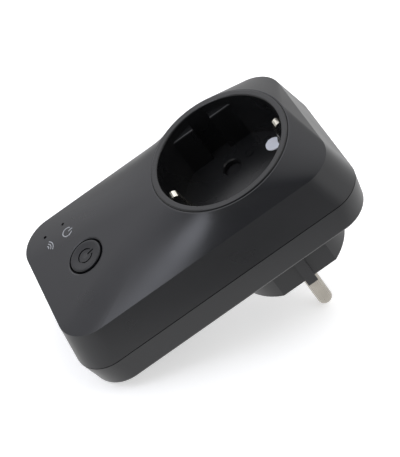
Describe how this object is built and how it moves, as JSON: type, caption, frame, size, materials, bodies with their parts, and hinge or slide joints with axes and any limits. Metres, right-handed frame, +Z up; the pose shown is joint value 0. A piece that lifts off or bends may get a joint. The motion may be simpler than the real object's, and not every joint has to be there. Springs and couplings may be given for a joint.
{
  "type": "smart plug",
  "caption": "Black plug-in mains adapter: a round earthed socket in a raised collar, a sloping front with a push button and two lights, and two round pins on the back.",
  "frame": {"origin": "centre of the plug's end face, midway between the two pins where they leave it", "axes": "+Y is the way the pins point, into the wall; +Z is up along the case, toward the socket end; the front faces -Y and +X is to the right when it is seen from the front"},
  "size_m": [0.0528, 0.0688, 0.0971],
  "materials": {
    "case_plastic": "fine satin black",
    "insert_plastic": "smooth satin black",
    "button_plastic": "satin black",
    "inner_plastic": "dark grey moulding",
    "shutter_plastic": "matt near-black",
    "white_plastic": "smooth white",
    "plated_pin": "nickel plated, lightly brushed",
    "plated_spring": "nickel plated strip",
    "brass_strip": "bare brass",
    "steel": "zinc plated",
    "circuit_board": "green solder mask",
    "black_board": "dark blue solder mask",
    "relay_plastic": "blue moulding",
    "copper_winding": "enamelled copper",
    "ferrite": "dark grey fired ferrite",
    "yellow_tape": "yellow tape over the winding",
    "black_sleeve": "shrunk sleeve",
    "yellow_case": "yellow moulding",
    "blue_coating": "dipped coating",
    "grey_coating": "cement-like coating",
    "black_package": "moulded package",
    "can_metal": "tinned can",
    "wire_brown": "brown insulation",
    "wire_blue": "blue insulation",
    "lens": "clear moulding",
    "led_package": "clear-topped package"
  },
  "bodies": {
    "housing": {"front_cover": "case_plastic", "rear_cover": "case_plastic", "plug_body": "case_plastic", "housing_screws": "steel", "socket_insert": "insert_plastic", "recess_screw": "steel", "screw_cap": "white_plastic", "contact_carrier": "inner_plastic", "live_contact": "brass_strip", "neutral_contact": "brass_strip", "earth_strap": "plated_spring", "plug_earth_contacts": "plated_spring", "shutter_spring": "steel", "live_pin": "plated_pin", "neutral_pin": "plated_pin", "live_supply_wire": "wire_brown", "neutral_supply_wire": "wire_blue", "live_output_wire": "wire_brown", "neutral_output_wire": "wire_blue", "power_board": "circuit_board", "relay_case": "relay_plastic", "relay_coil": "copper_winding", "relay_frame": "steel", "relay_contacts": "brass_strip", "transformer_core": "ferrite", "transformer_winding": "yellow_tape", "electrolytic_capacitors": "black_sleeve", "film_capacitor": "yellow_case", "varistor": "blue_coating", "fuse_resistor": "grey_coating", "bridge_rectifier": "black_package", "pin_header": "black_package", "control_board": "black_board", "board_screws": "steel", "wifi_board": "black_board", "wifi_shield": "can_metal", "switch_body": "black_package", "status_leds": "led_package", "light_guides": "lens"},
    "button": {"power_button": "button_plastic"},
    "switch_plunger": {"switch_plunger": "button_plastic"},
    "shutter": {"shutter": "shutter_plastic"},
    "relay_armature": {"relay_armature": "steel"}
  },
  "joints": [
    {"name": "button_press", "type": "slide", "parent": "housing", "child": "button", "axis": [0, 0.9905, 0.1374], "range_m": [0, 0.0004], "stiffness_N_per_m": 400},
    {"name": "plunger_press", "type": "slide", "parent": "housing", "child": "switch_plunger", "axis": [0, 0.9905, 0.1374], "range_m": [0, 0.0004]},
    {"name": "shutter_turn", "type": "hinge", "parent": "housing", "child": "shutter", "pos_m": [0, -0.0293, 0], "axis": [0, -1, 0], "range_deg": [0, 40], "stiffness_Nm_per_rad": 0.004},
    {"name": "relay_armature_tilt", "type": "hinge", "parent": "housing", "child": "relay_armature", "pos_m": [0.0051, -0.02565, -0.0306], "axis": [0, 0, -1], "range_deg": [0, 4], "stiffness_Nm_per_rad": 0.02}
  ],
  "couplings": [
    {"joint": "plunger_press", "follows": "button_press", "ratio": 1}
  ]
}
